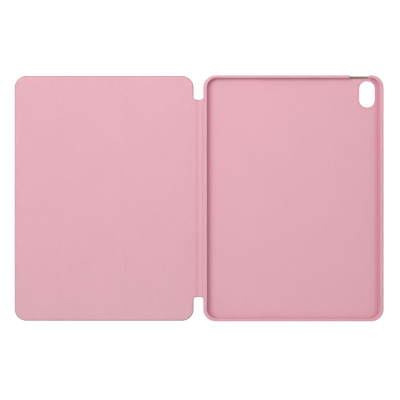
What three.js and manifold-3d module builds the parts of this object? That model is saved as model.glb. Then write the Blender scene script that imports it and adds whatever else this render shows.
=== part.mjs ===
// Folio case for an 11-inch-class tablet, lying open and flat on a surface.
// Millimetres, +Z up. The origin is the middle of the footprint, on the surface. The cover is on the -X side,
// the tray on the +X side, and the spine strip joins them. +Y is the end with the camera hole.

import * as THREE from 'three';
import { mergeVertices } from 'three/addons/utils/BufferGeometryUtils.js';
import Module from 'manifold-3d';

const wasm = await Module();
wasm.setup();

// ---- Driving dimensions ----

const TABLET = { width: 178.5, length: 247.6, thickness: 6.1 };
const TABLET_CLEARANCE = 0.2; // on each side of the tablet
const SIDE_WALL = 2.75; // tray walls along the two long sides
const END_WALL = 1.8; // tray walls along the two short ends
const LIP = { reach: 1.1, proud: 0.3 }; // how far the rim leans in over the tablet, and stands above it
const TRAY_CORNER = 12.5;
const TRAY_FILLET = 3.6; // inside along the floor, and outside along the bottom edge
const RIM_ROUND = 0.8;

const SKIN = 0.6; // synthetic leather
const SHELL_FLOOR = 0.9;
const TRAY_LINING = 0.3;
const BOARD = 1.0; // stiffener in each cover panel
const COVER_LINING = 0.4;
const SPINE_SKIN = 0.5;
const SPINE_BOARD = 0.3;
const SPINE_LINING = 0.3;

const COVER_LENGTH = 251.2;
const COVER_CORNER = 12;
const PANEL = { outer: 46.6, middle: 68.5, inner: 68.5 }; // widths, from the free edge to the spine
const SPINE_LENGTH = 202.4;
const SPINE_BOARD_WIDTH = 4.6;

const FOLD_Z = 0.8; // height of the two spine fold axes
const FOLD_TO_COVER = 0.5; // from the cover side fold axis to the cover's edge
const SPINE_TO_TRAY = 0.25; // free space beside the tray's wall when the spine stands up
const CLOSED_GAP = 0.2; // between the closed cover and the tray's rim
const SPINE_STRIP = 0.9; // the spine's rigid parts start this far from each fold axis
const CREASE_HALF = 1.35; // each panel stops this far from its crease axis
const CREASE_LINING = 0.35;
const SEAM = 0.05; // between a flexing strip and the rigid piece beside it

const BOARD_MARGIN = 2.5; // from a board's edge to the cover's outer edge
const BOARD_CREASE_MARGIN = 0.6; // from a board's edge to its panel's edge at a crease
const POCKET_CLEARANCE = 0.3; // around each magnet and the plate

const CAMERA = { width: 15.7, length: 26.5, fromSide: 16.55, fromEnd: 19.3 };
const BUTTON_NOTCH = { width: 20, fromSide: 24.6, sill: 1.9, corner: 1.5 };
const PORT = { width: 12.4, height: 4.4 };
const SPEAKER = { width: 27, height: 2.6, fromMiddle: 48 };
const VOLUME = { length: 27, height: 3.2, fromEnd: 45 };

const CLOSURE_MAGNET = { width: 5, length: 20, fromEdge: 6, count: 5, pitch: 46 };
const WAKE_MAGNET = { size: 9, fromEdge: 21, at: [-62, 71] };
const PLATE = { width: 13, length: 190, thickness: 0.4, fromEdge: 4 };

const CORNER_STEPS = 8;
const FILLET_STEPS = 4;
const MERGE_TOLERANCE = 1e-4;
const THROUGH = 5; // how far a cutter runs past the faces that it opens

// ---- Derived places ----

const CAVITY = {
  width: TABLET.width + 2 * TABLET_CLEARANCE,
  length: TABLET.length + 2 * TABLET_CLEARANCE,
};
const TRAY_WIDTH = CAVITY.width + 2 * SIDE_WALL;
const TRAY_LENGTH = CAVITY.length + 2 * END_WALL;
const SHELL_FLOOR_TOP = SKIN + SHELL_FLOOR;
const SEAT_Z = SHELL_FLOOR_TOP + TRAY_LINING; // where the tablet's back rests
const TRAY_HEIGHT = SEAT_Z + TABLET.thickness + LIP.proud;

const COVER_THICKNESS = SKIN + BOARD + COVER_LINING;
const COVER_WIDTH = PANEL.outer + PANEL.middle + PANEL.inner;
const SPINE_THICKNESS = SPINE_SKIN + SPINE_BOARD + SPINE_LINING;
// The closed cover lies just above the rim when the spine stands straight up beside the tray.
const FOLD_TO_FOLD = TRAY_HEIGHT + CLOSED_GAP + COVER_THICKNESS - 2 * FOLD_Z;
const FOLD_TO_TRAY = SPINE_THICKNESS - FOLD_Z + SPINE_TO_TRAY;
const TOTAL_WIDTH = COVER_WIDTH + FOLD_TO_COVER + FOLD_TO_FOLD + FOLD_TO_TRAY + TRAY_WIDTH;

const X_FREE_EDGE = -TOTAL_WIDTH / 2;
const X_OUTER_CREASE = X_FREE_EDGE + PANEL.outer;
const X_INNER_CREASE = X_OUTER_CREASE + PANEL.middle;
const X_COVER_EDGE = X_INNER_CREASE + PANEL.inner;
const X_COVER_FOLD = X_COVER_EDGE + FOLD_TO_COVER;
const X_SPINE_FOLD = X_COVER_FOLD + FOLD_TO_FOLD;
const X_TRAY = X_SPINE_FOLD + FOLD_TO_TRAY;
const X_TRAY_END = X_TRAY + TRAY_WIDTH;
const X_SPINE_LEFT = X_COVER_FOLD + SPINE_STRIP;
const X_SPINE_RIGHT = X_SPINE_FOLD - SPINE_STRIP;
const SKIN_INSET = TRAY_FILLET - 1.2; // the tray's skin reaches under the rounded bottom edge

// ---- Materials ----

const finish = (color, roughness, metalness = 0) => new THREE.MeshStandardMaterial({ color, roughness, metalness });

const MATERIALS = {
  skin: finish(0xe3a3b4, 0.55),
  shell: finish(0xe0a0b0, 0.5),
  lining: finish(0xe6adba, 0.95),
  board: finish(0xcfc7bb, 0.9),
  magnet: finish(0xb8babd, 0.35, 1),
  plate: finish(0x9fa2a6, 0.45, 1),
};

// ---- Shape helpers ----

// A rectangle, anticlockwise, whose left and right corners may be rounded.
function outline(x0, x1, y0, y1, leftRadius = 0, rightRadius = leftRadius) {
  const corners = [
    { x: x0, y: y0, radius: leftRadius, inX: 1, inY: 1, from: Math.PI },
    { x: x1, y: y0, radius: rightRadius, inX: -1, inY: 1, from: 1.5 * Math.PI },
    { x: x1, y: y1, radius: rightRadius, inX: -1, inY: -1, from: 0 },
    { x: x0, y: y1, radius: leftRadius, inX: 1, inY: -1, from: 0.5 * Math.PI },
  ];
  const points = corners.flatMap(({ x, y, radius, inX, inY, from }) => {
    if (!radius) return [new THREE.Vector2(x, y)];
    return Array.from({ length: CORNER_STEPS + 1 }, (_, step) => {
      const angle = from + (0.5 * Math.PI * step) / CORNER_STEPS;
      return new THREE.Vector2(
        x + radius * (inX + Math.cos(angle)),
        y + radius * (inY + Math.sin(angle)),
      );
    });
  });
  return new THREE.Shape(points);
}

// The outline raised from z0 to z1, with both ends rounded by round.
function slab(shape, z0, z1, round = 0) {
  const geometry = new THREE.ExtrudeGeometry(shape, {
    depth: z1 - z0 - 2 * round,
    steps: 1,
    bevelEnabled: round > 0,
    bevelThickness: round,
    bevelSize: round,
    bevelOffset: -round,
    bevelSegments: FILLET_STEPS,
  });
  return geometry.translate(0, 0, z0 + round);
}

// A slab that runs along Y from y0 to y1, its outline drawn in X and Z.
function slabAlongY(shape, y0, y1) {
  return slab(shape, -y1, -y0).rotateX(Math.PI / 2);
}

// A slab that runs along X from x0 to x1, its outline drawn in Y and Z.
function slabAlongX(shape, x0, x1) {
  return slab(shape, x0, x1).rotateX(Math.PI / 2).rotateZ(Math.PI / 2);
}

function solid(geometry) {
  geometry.deleteAttribute('normal');
  geometry.deleteAttribute('uv');
  const merged = mergeVertices(geometry, MERGE_TOLERANCE);
  const triVerts = new Uint32Array(merged.index.array);
  return new wasm.Manifold(
    new wasm.Mesh({ numProp: 3, vertProperties: merged.attributes.position.array, triVerts }),
  );
}

const cut = (body, cutters) => cutters.reduce((rest, cutter) => rest.subtract(solid(cutter)), solid(body));

function geometryOf(body) {
  const { vertProperties, triVerts } = body.getMesh();
  const geometry = new THREE.BufferGeometry();
  geometry.setAttribute('position', new THREE.BufferAttribute(vertProperties, 3));
  geometry.setIndex(new THREE.BufferAttribute(triVerts, 1));
  geometry.computeVertexNormals();
  return geometry;
}

function piece(name, material, body) {
  const mesh = new THREE.Mesh(body.isBufferGeometry ? body : geometryOf(body), material);
  mesh.name = name;
  return mesh;
}

function group(...children) {
  const result = new THREE.Group();
  result.add(...children);
  return result;
}

// ---- Tray ----

// The tray's outline, drawn in from its outer edge.
function trayOutline(insetX, insetY = insetX) {
  const half = TRAY_LENGTH / 2 - insetY;
  return outline(X_TRAY + insetX, X_TRAY_END - insetX, -half, half, TRAY_CORNER - Math.min(insetX, insetY));
}

function cameraHole() {
  const x = X_TRAY_END - CAMERA.fromSide;
  const y = TRAY_LENGTH / 2 - CAMERA.fromEnd;
  const [halfWidth, halfLength] = [CAMERA.width / 2, CAMERA.length / 2];
  const pill = outline(x - halfWidth, x + halfWidth, y - halfLength, y + halfLength, halfWidth - MERGE_TOLERANCE);
  return slab(pill, -THROUGH, SEAT_Z + THROUGH);
}

// A slot through an end wall, at the height of the tablet's middle.
function endSlot(x, width, height, y0, y1) {
  const z = SEAT_Z + TABLET.thickness / 2;
  const round = height / 2 - MERGE_TOLERANCE;
  return slabAlongY(outline(x - width / 2, x + width / 2, z - height / 2, z + height / 2, round), y0, y1);
}

function speakerSlots() {
  const middle = (X_TRAY + X_TRAY_END) / 2;
  const inner = CAVITY.length / 2 - THROUGH / 2;
  const outer = TRAY_LENGTH / 2 + THROUGH;
  return [-SPEAKER.fromMiddle, SPEAKER.fromMiddle].flatMap((offset) => [
    endSlot(middle + offset, SPEAKER.width, SPEAKER.height, inner, outer),
    endSlot(middle + offset, SPEAKER.width, SPEAKER.height, -outer, -inner),
  ]);
}

function chargingPort() {
  const middle = (X_TRAY + X_TRAY_END) / 2;
  return endSlot(middle, PORT.width, PORT.height, -TRAY_LENGTH / 2 - THROUGH, -CAVITY.length / 2 + THROUGH / 2);
}

function volumeSlot() {
  const y = TRAY_LENGTH / 2 - VOLUME.fromEnd;
  const z = SEAT_Z + TABLET.thickness / 2;
  const [halfLength, halfHeight] = [VOLUME.length / 2, VOLUME.height / 2];
  const shape = outline(
    y - halfLength, y + halfLength, z - halfHeight, z + halfHeight, halfHeight - MERGE_TOLERANCE,
  );
  return slabAlongX(shape, X_TRAY_END - SIDE_WALL - THROUGH / 2, X_TRAY_END + THROUGH);
}

function buttonNotch() {
  const x = X_TRAY_END - BUTTON_NOTCH.fromSide;
  const halfWidth = BUTTON_NOTCH.width / 2;
  const shape = outline(
    x - halfWidth, x + halfWidth, BUTTON_NOTCH.sill, TRAY_HEIGHT + THROUGH, BUTTON_NOTCH.corner,
  );
  return slabAlongY(shape, CAVITY.length / 2 - TRAY_FILLET, TRAY_LENGTH / 2 + THROUGH);
}

function backShell() {
  const lower = solid(slab(trayOutline(0), SKIN, TRAY_HEIGHT + TRAY_FILLET, TRAY_FILLET));
  const upper = solid(slab(trayOutline(0), -THROUGH, TRAY_HEIGHT, RIM_ROUND));
  const cavityTop = TRAY_HEIGHT + RIM_ROUND;
  const cavity = slab(trayOutline(SIDE_WALL, END_WALL), SHELL_FLOOR_TOP, cavityTop, TRAY_FILLET);
  const mouth = slab(
    trayOutline(SIDE_WALL + LIP.reach, END_WALL + LIP.reach), SEAT_Z + TABLET.thickness / 2, TRAY_HEIGHT + THROUGH,
  );
  const cutters = [cavity, mouth, cameraHole(), buttonNotch(), chargingPort(), volumeSlot(), ...speakerSlots()];
  return cutters.reduce((rest, cutter) => rest.subtract(solid(cutter)), lower.intersect(upper));
}

function tray() {
  const lined = trayOutline(SIDE_WALL + TRAY_FILLET, END_WALL + TRAY_FILLET);
  return group(
    piece('back_shell', MATERIALS.shell, backShell()),
    piece('back_skin', MATERIALS.skin, cut(slab(trayOutline(SKIN_INSET), 0, SKIN), [cameraHole()])),
    piece('back_lining', MATERIALS.lining, cut(slab(lined, SHELL_FLOOR_TOP, SEAT_Z), [cameraHole()])),
  );
}

// ---- Spine and hinge strips ----

// A plain strip along the spine, from x0 to x1.
function strip(x0, x1, z0, z1, length = SPINE_LENGTH) {
  return slab(outline(x0, x1, -length / 2, length / 2), z0, z1);
}

function spine() {
  const middle = (X_SPINE_LEFT + X_SPINE_RIGHT) / 2;
  const boardEnds = [middle - SPINE_BOARD_WIDTH / 2, middle + SPINE_BOARD_WIDTH / 2];
  const boardTop = SPINE_SKIN + SPINE_BOARD;
  const boardLength = SPINE_LENGTH - 2 * BOARD_MARGIN;
  const board = () => strip(...boardEnds, SPINE_SKIN, boardTop, boardLength);
  const lining = strip(X_SPINE_LEFT, X_SPINE_RIGHT, SPINE_SKIN, SPINE_THICKNESS);
  return group(
    piece('spine_skin', MATERIALS.skin, strip(X_SPINE_LEFT, X_SPINE_RIGHT, 0, SPINE_SKIN)),
    piece('spine_board', MATERIALS.board, board()),
    piece('spine_lining', MATERIALS.lining, cut(lining, [board()])),
  );
}

// The flexing skin and lining that join two rigid pieces, as two layers between x0 and x1.
function hinge(name, x0, x1, length, skinTop, liningTop, liningReach = 0) {
  return group(
    piece(`${name}_skin`, MATERIALS.skin, strip(x0, x1, 0, skinTop, length)),
    piece(`${name}_lining`, MATERIALS.lining, strip(x0, x1 + liningReach, skinTop, liningTop, length)),
  );
}

function hinges() {
  const traySkinEdge = X_TRAY + SKIN_INSET - SEAM;
  const crease = (name, x) => {
    const half = CREASE_HALF - SEAM;
    return hinge(name, x - half, x + half, COVER_LENGTH, SKIN, SKIN + CREASE_LINING);
  };
  return group(
    hinge('spine_hinge', X_SPINE_RIGHT + SEAM, traySkinEdge, SPINE_LENGTH, SPINE_SKIN, FOLD_Z,
      X_TRAY - traySkinEdge),
    hinge('cover_hinge', X_COVER_EDGE + SEAM, X_SPINE_LEFT - SEAM, SPINE_LENGTH, SPINE_SKIN, FOLD_Z),
    crease('inner_crease', X_INNER_CREASE),
    crease('outer_crease', X_OUTER_CREASE),
  );
}

// ---- Cover panels ----

// What every layer of one panel needs: its ends, its margins at them and its corner radii.
function panelShape({ x0, x1, leftRadius, rightRadius }, inset) {
  const half = COVER_LENGTH / 2 - inset;
  const margin = (radius) => (inset === 0 ? 0 : radius ? inset : BOARD_CREASE_MARGIN);
  return outline(
    x0 + margin(leftRadius), x1 - margin(rightRadius), -half, half,
    Math.max(leftRadius - inset, 0), Math.max(rightRadius - inset, 0),
  );
}

// One panel of the cover: skin, board and lining, with pockets in the board for its inserts.
function panel(name, shape, pockets, inserts) {
  const boardTop = SKIN + BOARD;
  const board = () => slab(panelShape(shape, BOARD_MARGIN), SKIN, boardTop);
  return group(
    piece(`${name}_skin`, MATERIALS.skin, slab(panelShape(shape, 0), 0, SKIN)),
    piece(`${name}_board`, MATERIALS.board, cut(board(), pockets)),
    piece(`${name}_lining`, MATERIALS.lining, cut(slab(panelShape(shape, 0), SKIN, COVER_THICKNESS), [board()])),
    ...inserts,
  );
}

// A block of x by y around a place, from the skin up, grown all round by spare.
function block({ x, y }, width, length, height, spare = 0) {
  const [halfX, halfY] = [width / 2 + spare, length / 2 + spare];
  return slab(outline(x - halfX, x + halfX, y - halfY, y + halfY), SKIN - spare, SKIN + height + spare);
}

function panelOuter() {
  const closure = Array.from({ length: CLOSURE_MAGNET.count }, (_, index) => ({
    x: X_FREE_EDGE + CLOSURE_MAGNET.fromEdge + CLOSURE_MAGNET.width / 2,
    y: (index - (CLOSURE_MAGNET.count - 1) / 2) * CLOSURE_MAGNET.pitch,
  }));
  const wake = WAKE_MAGNET.at.map((y) => ({ x: X_FREE_EDGE + WAKE_MAGNET.fromEdge, y }));
  const closureBlock = (place, spare) => block(place, CLOSURE_MAGNET.width, CLOSURE_MAGNET.length, BOARD, spare);
  const wakeBlock = (place, spare) => block(place, WAKE_MAGNET.size, WAKE_MAGNET.size, BOARD, spare);
  return panel(
    'panel_outer',
    { x0: X_FREE_EDGE, x1: X_OUTER_CREASE - CREASE_HALF, leftRadius: COVER_CORNER, rightRadius: 0 },
    [
      ...closure.map((place) => closureBlock(place, POCKET_CLEARANCE)),
      ...wake.map((place) => wakeBlock(place, POCKET_CLEARANCE)),
    ],
    [
      ...closure.map((place, index) => piece(`closure_magnet_${index + 1}`, MATERIALS.magnet, closureBlock(place))),
      ...wake.map((place, index) => piece(`wake_magnet_${index + 1}`, MATERIALS.magnet, wakeBlock(place))),
    ],
  );
}

function panelMiddle() {
  const shape = {
    x0: X_OUTER_CREASE + CREASE_HALF, x1: X_INNER_CREASE - CREASE_HALF, leftRadius: 0, rightRadius: 0,
  };
  return panel('panel_middle', shape, [], []);
}

function panelInner() {
  const place = { x: X_COVER_EDGE - PLATE.fromEdge - PLATE.width / 2, y: 0 };
  const plate = (spare) => block(place, PLATE.width, PLATE.length, PLATE.thickness, spare);
  return panel(
    'panel_inner',
    { x0: X_INNER_CREASE + CREASE_HALF, x1: X_COVER_EDGE, leftRadius: 0, rightRadius: COVER_CORNER },
    [plate(POCKET_CLEARANCE)],
    [piece('holding_plate', MATERIALS.plate, plate())],
  );
}

export default group(tray(), spine(), hinges(), panelInner(), panelMiddle(), panelOuter());
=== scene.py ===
"""The looks of a folio case for an 11-inch-class tablet, lying open and flat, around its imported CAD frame.

Metres, +Z up. The cover is on the -X side, the tray on the +X side, and +Y is the end with the camera hole.
"""
import math

import bmesh
import bpy
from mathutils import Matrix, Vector


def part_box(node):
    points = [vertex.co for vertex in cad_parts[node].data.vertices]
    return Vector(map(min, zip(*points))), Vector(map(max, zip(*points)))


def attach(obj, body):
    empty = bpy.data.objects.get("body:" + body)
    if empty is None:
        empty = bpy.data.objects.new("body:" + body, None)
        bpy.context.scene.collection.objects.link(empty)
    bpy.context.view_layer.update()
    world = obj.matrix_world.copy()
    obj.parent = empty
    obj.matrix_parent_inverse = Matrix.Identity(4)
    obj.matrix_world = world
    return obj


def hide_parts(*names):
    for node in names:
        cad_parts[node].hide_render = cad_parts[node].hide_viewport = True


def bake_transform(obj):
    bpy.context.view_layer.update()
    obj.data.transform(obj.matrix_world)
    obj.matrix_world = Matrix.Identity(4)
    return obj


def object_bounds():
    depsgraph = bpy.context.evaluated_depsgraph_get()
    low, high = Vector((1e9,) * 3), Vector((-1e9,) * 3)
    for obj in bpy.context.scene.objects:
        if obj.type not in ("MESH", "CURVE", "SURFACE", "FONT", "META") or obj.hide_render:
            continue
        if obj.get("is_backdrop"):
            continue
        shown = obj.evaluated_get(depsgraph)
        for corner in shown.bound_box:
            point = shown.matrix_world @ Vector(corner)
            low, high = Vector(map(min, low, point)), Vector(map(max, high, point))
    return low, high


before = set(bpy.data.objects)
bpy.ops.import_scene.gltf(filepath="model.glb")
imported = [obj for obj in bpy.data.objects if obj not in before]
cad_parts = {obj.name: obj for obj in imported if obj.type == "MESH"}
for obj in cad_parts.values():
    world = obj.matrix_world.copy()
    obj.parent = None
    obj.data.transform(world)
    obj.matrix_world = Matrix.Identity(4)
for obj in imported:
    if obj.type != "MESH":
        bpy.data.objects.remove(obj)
cad_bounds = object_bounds()

MM = 0.001

# ---- Driving dimensions that the CAD nodes' boxes don't give ----

TRAY_CORNER = 12.5 * MM
COVER_CORNER = 12 * MM
LEAST_CORNER = 1 * MM  # an inset loop's corners stay at least this round
SIDE_WALL = 2.75 * MM  # tray walls along the two long sides
END_WALL = 1.8 * MM  # tray walls along the two short ends
LIP = 1.1 * MM  # how far the rim leans in over the tablet
LIP_ROUND = 2.8 * MM  # the lip's hollow underside, which hugs the tablet's edge
LIP_SHARE = 0.47  # the share of a quarter turn that the underside covers
FILLET_START = 0.12  # the floor's fillet leaves out this first share of its quarter turn
BOTTOM_ROUND = 3.6 * MM  # outside along the tray's bottom edge
FLOOR_ROUND_SIDE = 9 * MM  # inside along the floor, at the long sides
FLOOR_ROUND_END = 2.6 * MM  # the same at the short ends
FLOOR_ROUND_HEIGHT = 2.8 * MM
RIM_ROUND_OUT = 1.4 * MM
RIM_ROUND_IN = 0.7 * MM
SKIN_INSET = 2.4 * MM  # the tray's skin starts this far in from its outer edge
SHELL_FLOOR_TOP = 1.5 * MM  # the bottom of the recess that the floor's lining lies in
SEAT_Z = 1.8 * MM  # the lining's top, where the tablet lies
FILLET_FOOT = 1.77 * MM  # the walls' fillets end here, at the recess
INLAY_GAP = 0.03 * MM  # between the recess's edge and the lining
SLOT_Z = 4.85 * MM  # middle height of the port and the slots
SLOT_FLARE = 0.35 * MM  # rounding where a slot meets the outer wall

CAMERA = {"width": 15.7 * MM, "length": 26.5 * MM, "from_side": 16.55 * MM, "from_end": 19.3 * MM}
CAMERA_FRAME_WIDTH = 1.9 * MM
NOTCH = {"width": 20 * MM, "from_side": 24.6 * MM, "sill": 1.9 * MM, "corner": 1.5 * MM, "mouth": 1.4 * MM}
PORT = {"width": 12.4 * MM, "height": 4.4 * MM}
SPEAKER = {"width": 27 * MM, "height": 2.6 * MM, "from_middle": 48 * MM}
VOLUME = {"length": 27 * MM, "height": 3.2 * MM, "from_end": 45 * MM}

COVER_TOP = 2.0 * MM  # the top of the cover's microfibre
PANEL_SEAM = 1.35 * MM  # each panel stops this far from its crease axis
BOARD_TOP = 1.6 * MM  # the ceiling of the pockets that the boards lie in
BOARD_MARGIN = 2.4 * MM  # from the board's pocket to the cover's outer edge
BOARD_SEAM_MARGIN = 0.5 * MM  # the same towards a crease
SKIN_THICK = 0.6 * MM  # the leather under the panels
EDGE_ROUND = 0.45 * MM  # the cover's outer edge
EDGE_LEDGE = 0.8 * MM  # how far the leather shows past the microfibre, all round the cover
PRESSED_DROP = 0.1 * MM  # the border pressed flat round the board
PRESSED_BORDER = 1.3 * MM
PRESSED_SLOPE = 1.2 * MM
STRIP_ROUND = 0.2 * MM  # rounding at the two ends of the spine's pieces and of the bending leather
CREASE_DROP = 0.09 * MM  # the valley along a crease, in the lining
CREASE_GROOVE = 0.18 * MM  # and in the leather under it
HINGE_GROOVE = {"depth": 0.12 * MM, "reach": 0.7 * MM}
SEAM_GAP = 0.01 * MM  # between a flexing strip and the rigid piece beside it

SPINE_SKIN = 0.5 * MM  # the leather is thinner along the spine
SPINE_NOTCH_ROUND = 3.0 * MM  # concave corners where the spine meets the cover and the tray
TUCK = 1.0 * MM  # how far the spine's lining runs in under the tray's rounded edge
FLOOR_DROP = 190 * MM  # the stage floor is below every pose's lowest point

CORNER_STEPS = 16
ROUND_STEPS = 6
STRIP_STEPS = {"crease": 16, "hinge_lining": 20, "hinge_skin": 18, "spine_lining": 22, "spine_skin": 8}
PAST = 5 * MM  # how far a cutter runs past the faces that it opens
HAIR = 0.001 * MM  # keeps the two corners of a round end apart
WELD = 0.0001 * MM  # points of a mesh that are closer than this become one


# ---- Mesh helpers ----

def link(name, data):
    """A new object of that mesh, light or camera, in the scene."""
    piece = bpy.data.objects.new(name, data)
    bpy.context.scene.collection.objects.link(piece)
    return piece


def mesh_from(build):
    """A closed mesh with outward normals, made by build(bm)."""
    mesh = bpy.data.meshes.new("mesh")
    bm = bmesh.new()
    build(bm)
    bmesh.ops.remove_doubles(bm, verts=bm.verts, dist=WELD)
    bmesh.ops.recalc_face_normals(bm, faces=bm.faces)
    bm.to_mesh(mesh)
    bm.free()
    return mesh


def loft(name, loops, closed=False):
    """A solid through loops of points with equal counts: capped at both ends, or joined end to end."""

    def build(bm):
        rows = [[bm.verts.new(point) for point in loop] for loop in loops]
        pairs = list(zip(rows, rows[1:] + rows[:1] if closed else rows[1:]))
        for low, high in pairs:
            count = len(low)
            for i in range(count):
                j = (i + 1) % count
                bm.faces.new((low[i], low[j], high[j], high[i]))
        if not closed:
            bm.faces.new(list(reversed(rows[0])))
            bm.faces.new(rows[-1])

    return link(name, mesh_from(build))


def ring(x0, x1, y0, y1, z, left=0.0, right=0.0):
    """One anticlockwise loop round a rectangle whose two left and two right corners may be rounded."""
    corners = (
        (x0, y0, left, 1, 1, 1.0),
        (x1, y0, right, -1, 1, 1.5),
        (x1, y1, right, -1, -1, 0.0),
        (x0, y1, left, 1, -1, 0.5),
    )
    points = []
    for x, y, radius, in_x, in_y, start in corners:
        steps = CORNER_STEPS if radius else 0
        for step in range(steps + 1):
            angle = math.pi * (start + 0.5 * step / CORNER_STEPS)
            points.append((x + radius * (in_x + math.cos(angle)), y + radius * (in_y + math.sin(angle)), z))
    return points


def arc(u, v, radius_u, radius_v, start, end, steps=ROUND_STEPS):
    """Points of an ellipse's arc round (u, v), from start to end in quarter turns."""
    angles = [0.5 * math.pi * turn for turn in spaced(start, end, steps)]
    return [(u + radius_u * math.cos(a), v + radius_v * math.sin(a)) for a in angles]


def spaced(start, end, count):
    """count + 1 numbers from start to end."""
    return [start + (end - start) * i / count for i in range(count + 1)]


def smooth(t):
    """0 to 1 with level ends, for t from 0 to 1."""
    t = min(max(t, 0.0), 1.0)
    return t * t * (3 - 2 * t)


def cut(piece, cutters):
    """Takes the cutters out of the piece, and removes them."""
    for cutter in cutters:
        step = piece.modifiers.new("cut", "BOOLEAN")
        step.operation = "DIFFERENCE"
        step.solver = "EXACT"
        step.object = cutter
    bpy.context.view_layer.update()
    piece.data = bpy.data.meshes.new_from_object(piece.evaluated_get(bpy.context.evaluated_depsgraph_get()))
    piece.modifiers.clear()
    for cutter in cutters:
        bpy.data.objects.remove(cutter)
    return piece


def shade(piece, sharp=38):
    """Smooth shading that keeps flat faces flat and edges past sharp degrees crisp."""
    piece.data.shade_smooth()
    piece.data.set_sharp_from_angle(angle=math.radians(sharp))
    weigh = piece.modifiers.new("even_normals", "WEIGHTED_NORMAL")
    weigh.keep_sharp = True
    weigh.weight = 100
    return piece


def finish_piece(piece, material, nodes, body=None):
    """Gives a piece its material, hides the CAD nodes that it stands in for, and parents it to its body, or
    bakes its place when it has none.
    """
    piece.data.materials.clear()
    piece.data.materials.append(material)
    shade(piece)
    if nodes:
        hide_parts(*nodes)
    if body:
        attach(piece, body)
    else:
        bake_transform(piece)
    return piece


# ---- Materials ----

class Shader:
    """A Principled material, with short ways to add the nodes that vary it over the surface."""

    def __init__(self, name, roughness, metallic=0.0, specular=0.5, sheen=0.0, sheen_tint=(1, 1, 1)):
        self.material = bpy.data.materials.new(name)
        self.material.use_nodes = True
        self.tree = self.material.node_tree
        self.surface = self.tree.nodes["Principled BSDF"]
        self.surface.inputs["Roughness"].default_value = roughness
        self.surface.inputs["Metallic"].default_value = metallic
        self.surface.inputs["Specular IOR Level"].default_value = specular
        self.surface.inputs["Sheen Weight"].default_value = sheen
        self.surface.inputs["Sheen Roughness"].default_value = 0.5
        self.surface.inputs["Sheen Tint"].default_value = (*sheen_tint, 1)
        self.place = self.tree.nodes.new("ShaderNodeTexCoord").outputs["Object"]

    def join(self, source, target):
        self.tree.links.new(source, target)

    def stretched(self, scale):
        """Object coordinates scaled along X, Y and Z."""
        node = self.tree.nodes.new("ShaderNodeMapping")
        node.inputs["Scale"].default_value = scale
        self.join(self.place, node.inputs["Vector"])
        return node.outputs["Vector"]

    def noise(self, size, detail=2.0, rough=0.5, place=None):
        """Noise with features of about size metres."""
        node = self.tree.nodes.new("ShaderNodeTexNoise")
        node.inputs["Scale"].default_value = 1 / size
        node.inputs["Detail"].default_value = detail
        node.inputs["Roughness"].default_value = rough
        self.join(place or self.place, node.inputs["Vector"])
        return node.outputs["Fac"]

    def cells(self, size, feature="DISTANCE_TO_EDGE"):
        """Voronoi cells about size metres across."""
        node = self.tree.nodes.new("ShaderNodeTexVoronoi")
        node.feature = feature
        node.inputs["Scale"].default_value = 1 / size
        self.join(self.place, node.inputs["Vector"])
        return node.outputs["Distance"]

    def spread(self, value, low, high, to_low, to_high):
        """value, from low..high to to_low..to_high."""
        node = self.tree.nodes.new("ShaderNodeMapRange")
        self.join(value, node.inputs["Value"])
        for name, number in zip(("From Min", "From Max", "To Min", "To Max"), (low, high, to_low, to_high)):
            node.inputs[name].default_value = number
        return node.outputs["Result"]

    def maths(self, operation, a, b):
        node = self.tree.nodes.new("ShaderNodeMath")
        node.operation = operation
        for value, target in zip((a, b), node.inputs):
            if isinstance(value, (int, float)):
                target.default_value = value
            else:
                self.join(value, target)
        return node.outputs["Value"]

    def mix(self, *parts):
        """The weighted sum of (value, weight) pairs."""
        total = None
        for value, weight in parts:
            part = self.maths("MULTIPLY", value, weight)
            total = part if total is None else self.maths("ADD", total, part)
        return total

    def tints(self, value, *stops):
        """A colour ramp over value: stops are (position, colour)."""
        node = self.tree.nodes.new("ShaderNodeValToRGB")
        ramp = node.color_ramp
        while len(ramp.elements) < len(stops):
            ramp.elements.new(0.5)
        for element, (position, colour) in zip(ramp.elements, stops):
            element.position = position
            element.color = (*colour, 1)
        self.join(value, node.inputs["Fac"])
        return node.outputs["Color"]

    def colour(self, source):
        self.join(source, self.surface.inputs["Base Color"])

    def roughness(self, source):
        self.join(source, self.surface.inputs["Roughness"])

    def bump(self, height, depth, strength=1.0, after=None):
        """A bump of depth metres from a height of 0 to 1."""
        node = self.tree.nodes.new("ShaderNodeBump")
        node.inputs["Strength"].default_value = strength
        node.inputs["Distance"].default_value = depth
        self.join(height, node.inputs["Height"])
        if after is not None:
            self.join(after, node.inputs["Normal"])
        self.join(node.outputs["Normal"], self.surface.inputs["Normal"])
        return node.outputs["Normal"]


def shades(colour, spread):
    """A darker and a lighter colour, each spread away from the colour."""
    return [tuple(min(channel * (1 + side * spread), 1.0) for channel in colour) for side in (-1, 1)]


LINING_PINK = (0.764, 0.424, 0.492)
TRAY_LINING_PINK = (0.782, 0.424, 0.494)
SKIN_PINK = (0.70, 0.345, 0.425)
SHELL_PINK = (0.75, 0.396, 0.47)
# Painted shade and inter-reflection: the inner walls' darker, more saturated pink stands in for the shade
# and pink bounce light along the walls.
SHADED_WALL_PINK = (0.65, 0.262, 0.35)
WALL_FULL_SHADE_Z = 2.4 * MM  # from here up the inner walls carry the full painted shade


def microfibre(name, pink):
    """Brushed microfibre: short nap that catches light, cloudy where it was stroked."""
    shader = Shader(name, roughness=0.95, specular=0.15, sheen=0.12, sheen_tint=(1.0, 0.82, 0.87))
    nap = shader.noise(0.35 * MM, detail=3, rough=0.6)
    tufts = shader.noise(1.4 * MM, detail=2)
    cloud = shader.noise(38 * MM, detail=3, rough=0.55)
    mixed = shader.mix((nap, 0.7), (tufts, 0.2), (cloud, 0.1))
    dark, light = shades(pink, 0.1)
    shader.colour(shader.tints(mixed, (0.34, dark), (0.66, light)))
    shader.roughness(shader.spread(nap, 0.3, 0.7, 0.9, 1.0))
    soft = shader.bump(tufts, 0.09 * MM)
    shader.bump(nap, 0.1 * MM, after=soft)
    return shader.material


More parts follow.
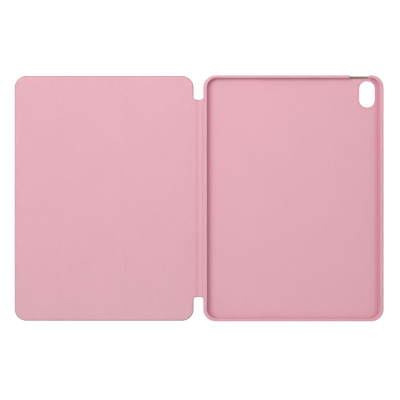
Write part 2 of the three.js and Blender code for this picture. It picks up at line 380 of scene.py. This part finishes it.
def grained_skin():
    """Synthetic leather: small rounded pebbles with darker valleys and a satin top coat."""
    shader = Shader("pebbled_skin", roughness=0.5, specular=0.4, sheen=0.04)
    pebbles = shader.cells(0.85 * MM)
    fine = shader.noise(0.22 * MM, detail=2)
    cloud = shader.noise(30 * MM, detail=2)
    valley = shader.spread(pebbles, 0.0, 0.16, 0.0, 1.0)
    dark, light = shades(SKIN_PINK, 0.08)
    level = shader.mix((valley, 0.6), (cloud, 0.4))
    shader.colour(shader.tints(level, (0.1, dark), (0.85, light)))
    shader.roughness(shader.spread(valley, 0.0, 1.0, 0.62, 0.46))
    grain = shader.bump(valley, 0.12 * MM)
    shader.bump(fine, 0.02 * MM, after=grain)
    return shader.material


def soft_shell():
    """Moulded soft-touch plastic: a fine spark-eroded texture with slight flow clouding."""
    shader = Shader("soft_shell", roughness=0.55, specular=0.4)
    grit = shader.noise(0.18 * MM, detail=2, rough=0.6)
    cloud = shader.noise(25 * MM, detail=2)
    dark, light = shades(SHELL_PINK, 0.05)
    level = shader.mix((grit, 0.4), (cloud, 0.6))
    shader.colour(shader.tints(level, (0.3, dark), (0.7, light)))
    shader.roughness(shader.spread(grit, 0.3, 0.7, 0.5, 0.62))
    shader.bump(grit, 0.035 * MM)
    return shader.material


def inner_wall_with_painted_shade():
    """The shell's inner walls: moulded plastic, pink as the microfibre at the floor, and darker and more
    saturated above as painted shade and inter-reflection.
    """
    shader = Shader("soft_shell_inside_painted_shade", roughness=0.6, specular=0.35)
    split = shader.tree.nodes.new("ShaderNodeSeparateXYZ")
    shader.join(shader.place, split.inputs["Vector"])
    grit = shader.noise(0.18 * MM, detail=2, rough=0.6)
    # Painted shade: the colour deepens and darkens with height above the fillet's foot.
    height = shader.spread(split.outputs["Z"], FILLET_FOOT, WALL_FULL_SHADE_Z, 0.0, 1.0)
    height = shader.maths("SQRT", height, 0.0)
    level = shader.maths("ADD", height, shader.spread(grit, 0.3, 0.7, -0.04, 0.04))
    shader.colour(shader.tints(level, (0.04, TRAY_LINING_PINK), (0.96, SHADED_WALL_PINK)))
    shader.roughness(shader.spread(grit, 0.3, 0.7, 0.55, 0.68))
    shader.bump(grit, 0.02 * MM)
    return shader.material


def cut_edge_and_shadow():
    """The cover's cut edge: leather and glue pressed into one greyish line, made darker by a painted contact
    shadow along the cover's rim.
    """
    shader = Shader("cut_edge_and_shadow", roughness=0.8, specular=0.3)
    fibres = shader.noise(0.3 * MM, detail=3, rough=0.6)
    patches = shader.noise(6 * MM, detail=2)
    level = shader.mix((fibres, 0.5), (patches, 0.5))
    # Partly the real cut edge and partly painted shadow: the grey tones also stand in for the edge's contact
    # shadow.
    shader.colour(shader.tints(level, (0.35, (0.38, 0.285, 0.305)), (0.65, (0.48, 0.37, 0.39))))
    shader.bump(fibres, 0.04 * MM)
    return shader.material


def greyboard():
    """Pressed grey board with short fibres and flecks."""
    shader = Shader("greyboard", roughness=0.9, specular=0.2)
    fibres = shader.noise(0.5 * MM, detail=3, place=shader.stretched((1.0, 0.25, 1.0)))
    flecks = shader.noise(0.9 * MM, detail=1)
    level = shader.mix((fibres, 0.7), (flecks, 0.3))
    shader.colour(shader.tints(level, (0.3, (0.36, 0.33, 0.29)), (0.7, (0.62, 0.58, 0.52))))
    shader.bump(fibres, 0.04 * MM)
    return shader.material


def raw_edge_and_shadow():
    """The bare brown edge of the stiffener where the wall is cut away, with its pressed layers, dark enough
    to stand also as painted shadow that continues the top wall's shade line.
    """
    shader = Shader("raw_edge_and_shadow", roughness=0.85, specular=0.2)
    layers = shader.noise(0.3 * MM, detail=2, place=shader.stretched((0.08, 1.0, 1.0)))
    blotches = shader.noise(4 * MM, detail=2)
    level = shader.mix((layers, 0.5), (blotches, 0.5))
    # Partly the stiffener's own brown and partly painted shadow: the dark brown also stands in for the shade
    # line under the top wall.
    shader.colour(shader.tints(level, (0.35, (0.20, 0.12, 0.09)), (0.65, (0.36, 0.24, 0.19))))
    shader.bump(layers, 0.05 * MM)
    return shader.material


def nickel():
    """Nickel plating with fine handling marks."""
    shader = Shader("nickel_plating", roughness=0.3, metallic=1.0)
    marks = shader.noise(0.3 * MM, detail=3)
    cloud = shader.noise(3 * MM, detail=2)
    shader.colour(shader.tints(cloud, (0.3, (0.52, 0.52, 0.53)), (0.7, (0.66, 0.66, 0.67))))
    shader.roughness(shader.spread(marks, 0.3, 0.7, 0.24, 0.42))
    shader.bump(marks, 0.01 * MM)
    return shader.material


def brushed_steel():
    """Thin sheet steel brushed along its length."""
    shader = Shader("brushed_steel", roughness=0.4, metallic=1.0)
    lines = shader.noise(0.25 * MM, detail=3, place=shader.stretched((1.0, 0.02, 1.0)))
    shader.colour(shader.tints(lines, (0.3, (0.40, 0.41, 0.42)), (0.7, (0.55, 0.56, 0.57))))
    shader.roughness(shader.spread(lines, 0.3, 0.7, 0.34, 0.5))
    shader.bump(lines, 0.01 * MM)
    return shader.material


LINING = microfibre("microfibre_cover", LINING_PINK)
TRAY_LINING = microfibre("microfibre_tray", TRAY_LINING_PINK)
SKIN = grained_skin()
CUT_EDGE_AND_SHADOW = cut_edge_and_shadow()
SHELL = soft_shell()
SHADED_WALL = inner_wall_with_painted_shade()
BOARD = greyboard()
RAW_EDGE_AND_SHADOW = raw_edge_and_shadow()


# ---- Tray ----

tray_low, tray_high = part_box("back_shell")
TRAY = {"x0": tray_low[0], "x1": tray_high[0], "half": tray_high[1], "z0": tray_low[2], "z1": tray_high[2]}
TRAY_MIDDLE = (TRAY["x0"] + TRAY["x1"]) / 2


def tray_ring(inset_x, inset_y, z):
    """A loop round the tray, inset from its long sides by inset_x and from its ends by inset_y."""
    half = TRAY["half"] - inset_y
    radius = max(TRAY_CORNER - min(inset_x, inset_y), LEAST_CORNER)
    return ring(TRAY["x0"] + inset_x, TRAY["x1"] - inset_x, -half, half, z, radius, radius)


def pill(x, y, width, length, z):
    """A loop with half-round ends."""
    radius = width / 2 - HAIR
    return ring(x - width / 2, x + width / 2, y - length / 2, y + length / 2, z, radius, radius)


def camera_ring(spare, z):
    """The camera hole's outline grown by spare."""
    x = TRAY["x1"] - CAMERA["from_side"]
    y = TRAY["half"] - CAMERA["from_end"]
    return pill(x, y, CAMERA["width"] + 2 * spare, CAMERA["length"] + 2 * spare, z)


def camera_cutter(spare=0.0):
    """A cutter for the camera hole, grown by spare."""
    return loft("cutter", [camera_ring(spare, -PAST), camera_ring(spare, SEAT_Z + PAST)])


def slot_cutter(middle, width, height, wall, axis, side):
    """A slot with round ends through an outer wall, flared where it comes out. axis is along the normal."""
    # Each station is (how far the outline has grown, how far inside the wall's face it is).
    flare = arc(SLOT_FLARE, SLOT_FLARE, -SLOT_FLARE, -SLOT_FLARE, 0, 1)
    loops = []
    for grown, inside in [(0.0, PAST), *flare, (SLOT_FLARE, -PAST)]:
        reach, rise = width / 2 + grown, height / 2 + grown
        outline = ring(
            middle - reach, middle + reach, SLOT_Z - rise, SLOT_Z + rise,
            side * (wall - inside), rise - HAIR, rise - HAIR,
        )
        if axis == "y":
            loops.append([(along, normal, z) for along, z, normal in outline])
        else:
            loops.append([(normal, along, z) for along, z, normal in outline])
    return loft("cutter", loops)


def notch_cutter():
    """The top button's notch: rounded at the sill, and flaring out at the rim."""
    x = TRAY["x1"] - NOTCH["from_side"]
    half, corner, mouth = NOTCH["width"] / 2, NOTCH["corner"], NOTCH["mouth"]
    low, top = NOTCH["sill"], TRAY["z1"]
    right = [
        *arc(half - corner, low + corner, corner, corner, -1, 0),
        *arc(half + mouth, top - mouth, mouth, mouth, 2, 1),
        (half + mouth, top + PAST),
    ]
    outline = [(x + u, v) for u, v in right] + [(x - u, v) for u, v in reversed(right)]
    inner = TRAY["half"] - END_WALL - FLOOR_ROUND_END
    return loft("cutter", [[(u, y, v) for u, v in outline] for y in (inner, TRAY["half"] + PAST)])


def inside_wall(point):
    """Whether a point of the shell is on the inner walls, below the rim's edge."""
    from_side = min(point.x - TRAY["x0"], TRAY["x1"] - point.x)
    from_end = TRAY["half"] - abs(point.y)
    depth = min(from_side, from_end)
    if max(from_side, from_end) < TRAY_CORNER:
        depth = TRAY_CORNER - math.hypot(TRAY_CORNER - from_side, TRAY_CORNER - from_end)
    spare = 0.1 * MM
    return depth > END_WALL - spare and SHELL_FLOOR_TOP - spare < point.z < TRAY["z1"] - RIM_ROUND_IN


def slot_cutters():
    """The port, the volume buttons' slot and the four speaker slots."""
    wall_x, wall_y = TRAY["x1"], TRAY["half"]
    yield slot_cutter(TRAY_MIDDLE, PORT["width"], PORT["height"], wall_y, "y", -1)
    yield slot_cutter(wall_y - VOLUME["from_end"], VOLUME["length"], VOLUME["height"], wall_x, "x", 1)
    for offset in (-SPEAKER["from_middle"], SPEAKER["from_middle"]):
        for side in (-1, 1):
            middle = TRAY_MIDDLE + offset
            yield slot_cutter(middle, SPEAKER["width"], SPEAKER["height"], wall_y, "y", side)


def tray_shell():
    """Floor, walls and rim in one moulding, with its openings."""
    top = TRAY["z1"]
    lean = LIP - RIM_ROUND_IN
    outer = [
        *arc(BOTTOM_ROUND, TRAY["z0"] + BOTTOM_ROUND, -BOTTOM_ROUND, BOTTOM_ROUND, -1, 0),
        *arc(RIM_ROUND_OUT, top - RIM_ROUND_OUT, -RIM_ROUND_OUT, RIM_ROUND_OUT, 0, 1),
    ]
    loops = [tray_ring(inset, inset, z) for inset, z in outer]
    inner_rim = arc(lean, top - RIM_ROUND_IN, RIM_ROUND_IN, RIM_ROUND_IN, 1, 0)
    inner_rim += arc(LIP_ROUND, top - LIP_ROUND, -LIP_ROUND, LIP_ROUND, LIP_SHARE, 0, 4)
    loops += [tray_ring(SIDE_WALL + inset, END_WALL + inset, z) for inset, z in inner_rim]
    for across, up in arc(1, 1, -1, -1, FILLET_START, 1, 2 * ROUND_STEPS):
        inset_x, inset_y = SIDE_WALL + FLOOR_ROUND_SIDE * across, END_WALL + FLOOR_ROUND_END * across
        loops.append(tray_ring(inset_x, inset_y, FILLET_FOOT + FLOOR_ROUND_HEIGHT * up))
    recess_x, recess_y = SIDE_WALL + FLOOR_ROUND_SIDE, END_WALL + FLOOR_ROUND_END
    loops.append(tray_ring(recess_x + INLAY_GAP, recess_y + INLAY_GAP, SHELL_FLOOR_TOP))
    piece = loft("tray_shell", loops)
    cut(piece, [camera_cutter(), notch_cutter(), *slot_cutters()])
    finish_piece(piece, SHELL, ["back_shell"], body="tray")
    # The inner walls' faces take the material with painted shade.
    piece.data.materials.append(SHADED_WALL)
    for face in piece.data.polygons:
        face.material_index = 1 if inside_wall(face.center) else 0
    return piece


def tray_skin():
    """The leather under the tray, its edge rolled into the shell."""
    low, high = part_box("back_skin")
    edge, flat_from, tucked, hole_gap = 0.4 * MM, 1.2 * MM, 0.1 * MM, 0.3 * MM
    outline = [(flat_from, low[2]), *arc(edge, low[2] + edge, -edge, edge, -1, 0), (tucked, high[2])]
    loops = [tray_ring(SKIN_INSET + inset, SKIN_INSET + inset, z) for inset, z in outline]
    piece = cut(loft("tray_skin", loops), [camera_cutter(hole_gap)])
    finish_piece(piece, SKIN, ["back_skin"], body="tray")
    return piece


def tray_floor():
    """The microfibre that the tablet lies on, trimmed round the camera hole's frame."""
    edge = 0.08 * MM
    spare = 2 * INLAY_GAP
    inset_x, inset_y = SIDE_WALL + FLOOR_ROUND_SIDE + spare, END_WALL + FLOOR_ROUND_END + spare
    outline = [(0.0, SHELL_FLOOR_TOP), *arc(edge, SEAT_Z - edge, -edge, edge, 0, 1)]
    loops = [tray_ring(inset_x + inset, inset_y + inset, z) for inset, z in outline]
    piece = cut(loft("tray_floor", loops), [camera_cutter(CAMERA_FRAME_WIDTH)])
    finish_piece(piece, TRAY_LINING, ["back_lining"], body="tray")
    return piece


def camera_frame():
    """The moulded bead round the camera hole, a little proud of the microfibre."""
    inner, outer = 0.02 * MM, CAMERA_FRAME_WIDTH - 0.12 * MM
    bead, proud, sunk = 0.35 * MM, 0.12 * MM, 0.2 * MM
    low, centre = SHELL_FLOOR_TOP - sunk, SEAT_Z + proud - bead
    section = [
        (inner, low),
        (outer, low),
        *arc(outer - bead, centre, bead, bead, 0, 1),
        *arc(inner + bead, centre, bead, bead, 1, 2),
    ]
    piece = loft("camera_frame", [camera_ring(spare, z) for spare, z in section], closed=True)
    return finish_piece(piece, SHELL, [], body="tray")


def notch_edge_and_shadow():
    """The bare edge of the stiffener that shows in the top button's notch, together with the painted shadow
    line that runs on from the top wall's shade.
    """
    x = TRAY["x1"] - NOTCH["from_side"]
    from_ends, from_face, to_face = 0.6 * MM, 3.5 * MM, 0.9 * MM
    sunk, proud = 0.3 * MM, 0.12 * MM
    half = NOTCH["width"] / 2 - from_ends
    inner, outer = TRAY["half"] - from_face, TRAY["half"] - to_face
    loops = []
    for inset, z in [(0.0, NOTCH["sill"] - sunk), *arc(proud, NOTCH["sill"], -proud, proud, 0, 1, 3)]:
        loops.append(ring(x - half + inset, x + half - inset, inner + inset, outer - inset, z))
    return finish_piece(loft("notch_edge_and_shadow", loops), RAW_EDGE_AND_SHADOW, [], body="tray")


def build_tray():
    tray_shell()
    tray_skin()
    tray_floor()
    camera_frame()
    notch_edge_and_shadow()


# ---- Cover panels ----

COVER_X1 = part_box("panel_inner_skin")[1][0]
COVER_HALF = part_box("panel_outer_skin")[1][1]


def bare_edge_and_shadow(skin):
    """Shows the cut edge's material along the top of a cover skin: the greyish edge line with its painted
    contact shadow.
    """
    skin.data.materials.append(CUT_EDGE_AND_SHADOW)
    for face in skin.data.polygons:
        face.material_index = 1 if face.center.z > SKIN_THICK / 2 else 0


def panel_ring(box, free, inset, seam_inset, z):
    """A loop round a panel: inset from its free edges, and seam_inset from its crease sides."""
    (x0, x1), (left, right) = box, free
    radius = max(COVER_CORNER - inset, LEAST_CORNER)
    half = COVER_HALF - inset
    return ring(
        x0 + (inset if left else seam_inset), x1 - (inset if right else seam_inset), -half, half, z,
        radius if left else 0, radius if right else 0,
    )


def pressed_end(low, high):
    """The lining's edge, as (distance in from the edge, z) from its underside to its top.

    It is rounded, with a border pressed a little flatter than the middle.
    """
    pressed, foot = high - PRESSED_DROP, 0.1 * MM
    slope = [
        (PRESSED_BORDER + share * PRESSED_SLOPE, pressed + PRESSED_DROP * smooth(share))
        for share in spaced(0.0, 1.0, ROUND_STEPS)
    ]
    return [
        (foot, low),
        (0.0, low + foot),
        *arc(EDGE_ROUND, pressed - EDGE_ROUND, -EDGE_ROUND, EDGE_ROUND, 0, 1),
        *slope,
    ]


def panel(name, left=False, right=False):
    """Skin and lining of one panel. left and right say which of its ends are the cover's own edges."""
    low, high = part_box(f"{name}_skin")
    box = (low[0], high[0])
    free = (left, right)
    top_inset = 0.03 * MM
    rolled = arc(EDGE_ROUND, EDGE_ROUND, -EDGE_ROUND, EDGE_ROUND, -1, 0)
    skin_outline = [(BOARD_MARGIN, 0.0), *rolled, (top_inset, SKIN_THICK)]
    skin = loft(f"{name}_leather", [panel_ring(box, free, inset, 0.0, z) for inset, z in skin_outline])
    finish_piece(skin, SKIN, [f"{name}_skin"], body=name)
    bare_edge_and_shadow(skin)

    lining_outline = [
        (BOARD_MARGIN, BOARD_SEAM_MARGIN, BOARD_TOP),
        (BOARD_MARGIN, BOARD_SEAM_MARGIN, SKIN_THICK),
        *[(EDGE_LEDGE + inset, 0.0, z) for inset, z in pressed_end(SKIN_THICK, COVER_TOP)],
    ]
    lining = loft(f"{name}_microfibre", [panel_ring(box, free, *station) for station in lining_outline])
    finish_piece(lining, LINING, [f"{name}_lining"], body=name)
    return skin, lining


# ---- Flexing strips and the spine ----

def plain_end(low, high):
    """The rounded end of a strip, as (distance in from the end, z) from its underside to its top."""
    edge = min(STRIP_ROUND, (high - low) / 2.2)  # a thin strip's end keeps a short straight part
    return [*arc(edge, low + edge, -edge, edge, -1, 0, 3), *arc(edge, high - edge, -edge, edge, 0, 1, 3)]


def strip(name, stations, half, low, high, end=plain_end, pocket=None, pocket_half=10 * MM):
    """A thin solid along Y, lofted over its stations along X.

    half, low, high and pocket give its half length, underside, top and pocket's ceiling at x. Without a
    pocket, the points at pocket_half lie in the flat underside.
    """
    loops = []
    for x in stations:
        ceiling = pocket(x) if pocket else low(x)
        right = [(pocket_half, ceiling), (pocket_half, low(x))]
        right += [(half(x) - inset, z) for inset, z in end(low(x), high(x))]
        loops.append([(x, y, z) for y, z in right + [(-y, z) for y, z in reversed(right)]])
    return loft(name, loops)


def crease(name):
    """The lining and skin that bend between two panels, as shallow valleys."""
    low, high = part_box(f"{name}_lining")
    axis = (low[0] + high[0]) / 2
    reach = PANEL_SEAM - SEAM_GAP
    stations = spaced(axis - reach, axis + reach, STRIP_STEPS["crease"])

    def depth(x):
        return 1 - smooth(abs(x - axis) / reach)

    lining = strip(
        f"{name}_microfibre", stations, lambda x: COVER_HALF - EDGE_LEDGE,
        lambda x: SKIN_THICK, lambda x: COVER_TOP - CREASE_DROP * depth(x), end=pressed_end,
    )
    finish_piece(lining, LINING, [f"{name}_lining"])
    skin = strip(
        f"{name}_leather", stations, lambda x: COVER_HALF,
        lambda x: CREASE_GROOVE * depth(x), lambda x: SKIN_THICK,
    )
    finish_piece(skin, SKIN, [f"{name}_skin"])
    bare_edge_and_shadow(skin)
    return skin, lining


SPINE_X0, SPINE_X1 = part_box("spine_skin")[0][0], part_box("spine_skin")[1][0]
SPINE_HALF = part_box("spine_skin")[1][1]
# The lowest line of the spine's trough, how far each side rises from it, and over what distance.
SPINE_VALLEY = {"x": 0.1 * MM, "z": 0.86 * MM, "left": 1.0 * MM, "right": 1.12 * MM}
SPINE_SLOPE = {"left": 4.9 * MM, "right": 4.1 * MM}
SPINE_START = COVER_X1 - EDGE_LEDGE - 0.35 * MM  # the lining runs on over the cover's edge
COVER_FOLD = -4.825 * MM  # x of the axis that the cover turns about
SPINE_FOLD = 3.975 * MM  # x of the axis that the spine turns about


def notch_half(x):
    """Half the spine's length at x: longer in the concave corners beside the cover and the tray."""
    radius = SPINE_NOTCH_ROUND
    beside = min(max(min(x - COVER_X1, TRAY["x0"] - x), 0.0), radius)
    return SPINE_HALF + radius - math.sqrt(radius ** 2 - (radius - beside) ** 2)


def lining_half(x):
    """Half the spine lining's length at x: the leather's cut edge shows past it."""
    return notch_half(x) - EDGE_LEDGE


def spine_height(x):
    """The lining's top across the spine: a shallow trough between the cover's edge and the tray's wall."""
    side = "left" if x < SPINE_VALLEY["x"] else "right"
    share = abs(x - SPINE_VALLEY["x"]) / SPINE_SLOPE[side]
    return SPINE_VALLEY["z"] + SPINE_VALLEY[side] * smooth(share)


def declare_sheets(pieces, strips):
    """Pairs a panel's skin and lining with the strips beside it, and does nothing with them. The strips that
    bend beside it were cut with them.
    """
    for piece, spare, extra in zip(pieces, (0.0, 2 * EDGE_LEDGE), zip(*strips) if strips else ([], [])):
        list(extra)


def spine():
    """The rigid middle of the spine, returned as (skin, lining)."""
    board_low, board_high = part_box("spine_board")
    gap_x, gap_y, gap_z, step = 0.05 * MM, 0.1 * MM, 0.02 * MM, 0.01 * MM
    start, end = board_low[0] - gap_x, board_high[0] + gap_x

    def pocket(x):
        return board_high[2] + gap_z if start <= x <= end else SPINE_SKIN

    across = spaced(SPINE_X0, SPINE_X1, STRIP_STEPS["spine_lining"])
    stations = sorted([*across, start - step, start, end, end + step])
    lining = strip(
        "spine_microfibre", stations, lining_half, lambda x: SPINE_SKIN, spine_height,
        pocket=pocket, pocket_half=board_high[1] + gap_y,
    )
    finish_piece(lining, LINING, ["spine_lining"], body="spine")
    stations = spaced(SPINE_X0, SPINE_X1, STRIP_STEPS["spine_skin"])
    skin = strip("spine_leather", stations, notch_half, lambda x: 0.0, lambda x: SPINE_SKIN)
    finish_piece(skin, SKIN, ["spine_skin"], body="spine")
    bare_edge_and_shadow(skin)
    return skin, lining


def hinge(name, x0, x1, lining_x0, lining_x1, skin_x1, axis):
    """The lining and skin that bend beside the spine: the skin from x0 to skin_x1, the lining from lining_x0
    to lining_x1. x1 is not used.
    """

    def groove(x):
        return HINGE_GROOVE["depth"] * (1 - smooth(abs(x - axis) / HINGE_GROOVE["reach"]))

    stations = spaced(lining_x0, lining_x1, STRIP_STEPS["hinge_lining"])
    lining = strip(f"{name}_microfibre", stations, lining_half, lambda x: SPINE_SKIN, spine_height)
    finish_piece(lining, LINING, [f"{name}_lining"])
    stations = spaced(x0, skin_x1, STRIP_STEPS["hinge_skin"])
    skin = strip(f"{name}_leather", stations, notch_half, groove, lambda x: SPINE_SKIN)
    finish_piece(skin, SKIN, [f"{name}_skin"])
    bare_edge_and_shadow(skin)
    return skin, lining


# ---- Stage, lights and camera ----

FLOOR_GREY = 0.35  # with its glow, the floor is just white, and doesn't flood the thin edges above it
FLOOR_GLOW = 0.85
WORLD_STRENGTH = 0.492


def stage():
    bpy.ops.mesh.primitive_plane_add(size=12, location=(0, 0, -FLOOR_DROP))
    floor = bpy.context.object
    floor.name = "stage_floor"
    material = bpy.data.materials.new("stage_white")
    material.use_nodes = True
    surface = material.node_tree.nodes["Principled BSDF"]
    surface.inputs["Base Color"].default_value = (FLOOR_GREY, FLOOR_GREY, FLOOR_GREY, 1)
    surface.inputs["Roughness"].default_value = 0.9
    surface.inputs["Emission Color"].default_value = (1, 1, 1, 1)
    surface.inputs["Emission Strength"].default_value = FLOOR_GLOW
    floor.data.materials.append(material)
    floor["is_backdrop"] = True


def area_light(name, place, aim, size, watts):
    light = bpy.data.lights.new(name, "AREA")
    light.shape = "DISK"
    light.size = size
    light.energy = watts
    lamp = link(name, light)
    lamp.location = place
    lamp.rotation_mode = "QUATERNION"
    lamp.rotation_quaternion = (Vector(aim) - Vector(place)).to_track_quat("-Z", "Y")


def lights():
    world = bpy.data.worlds.new("studio")
    bpy.context.scene.world = world
    world.use_nodes = True
    background = world.node_tree.nodes["Background"]
    background.inputs["Color"].default_value = (1, 1, 1, 1)
    background.inputs["Strength"].default_value = WORLD_STRENGTH
    area_light("key", (-0.88, 0.5, 2.1), (0, 0, 0), 1.5, 20.5)
    area_light("top", (-0.06, 0.26, 0.5), (-0.06, 0.1, 0), 0.4, 0.8)
    bpy.context.scene.view_settings.view_transform = "Standard"


CAMERA_HEIGHT = 2.0
VIEW_WIDTH = 0.4103  # what the picture's width spans at the table's level
VIEW_MIDDLE = (1.2 * MM, -1.75 * MM)


def camera():
    data = bpy.data.cameras.new("camera")
    data.sensor_width = 36
    data.lens = data.sensor_width * CAMERA_HEIGHT / VIEW_WIDTH
    eye = link("camera", data)
    eye.location = (*VIEW_MIDDLE, CAMERA_HEIGHT)
    bpy.context.scene.camera = eye


# ---- Materials of the CAD nodes that stay ----

def dress_cad_nodes():
    metal, steel = nickel(), brushed_steel()
    for name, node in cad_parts.items():
        if name.endswith("_board"):
            node.data.materials.clear()
            node.data.materials.append(BOARD)
        elif "magnet" in name:
            node.data.materials.clear()
            node.data.materials.append(metal)
        elif name == "holding_plate":
            node.data.materials.clear()
            node.data.materials.append(steel)


camera()
build_tray()
outer = panel("panel_outer", left=True)
middle = panel("panel_middle")
inner = panel("panel_inner", right=True)
inner_bend = crease("inner_crease")
outer_bend = crease("outer_crease")
spine_pieces = spine()
spine_start, spine_end = SPINE_X0 - SEAM_GAP, SPINE_X1 + SEAM_GAP
cover_bend = hinge(
    "cover_hinge", COVER_X1 + SEAM_GAP, spine_start,
    lining_x0=SPINE_START, lining_x1=spine_start, skin_x1=spine_start, axis=COVER_FOLD,
)
tray_bend = hinge(
    "spine_hinge", spine_end, TRAY["x0"],
    lining_x0=spine_end, lining_x1=TRAY["x0"] + TUCK,
    skin_x1=TRAY["x0"] + SKIN_INSET - SEAM_GAP, axis=SPINE_FOLD,
)
declare_sheets(outer, [])
declare_sheets(middle, [outer_bend])
declare_sheets(inner, [inner_bend, cover_bend, spine_pieces, tray_bend])
dress_cad_nodes()
stage()
lights()

sizes = {"cad": cad_bounds, "visual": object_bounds()}
{name: [list(corner) for corner in box] for name, box in sizes.items()}
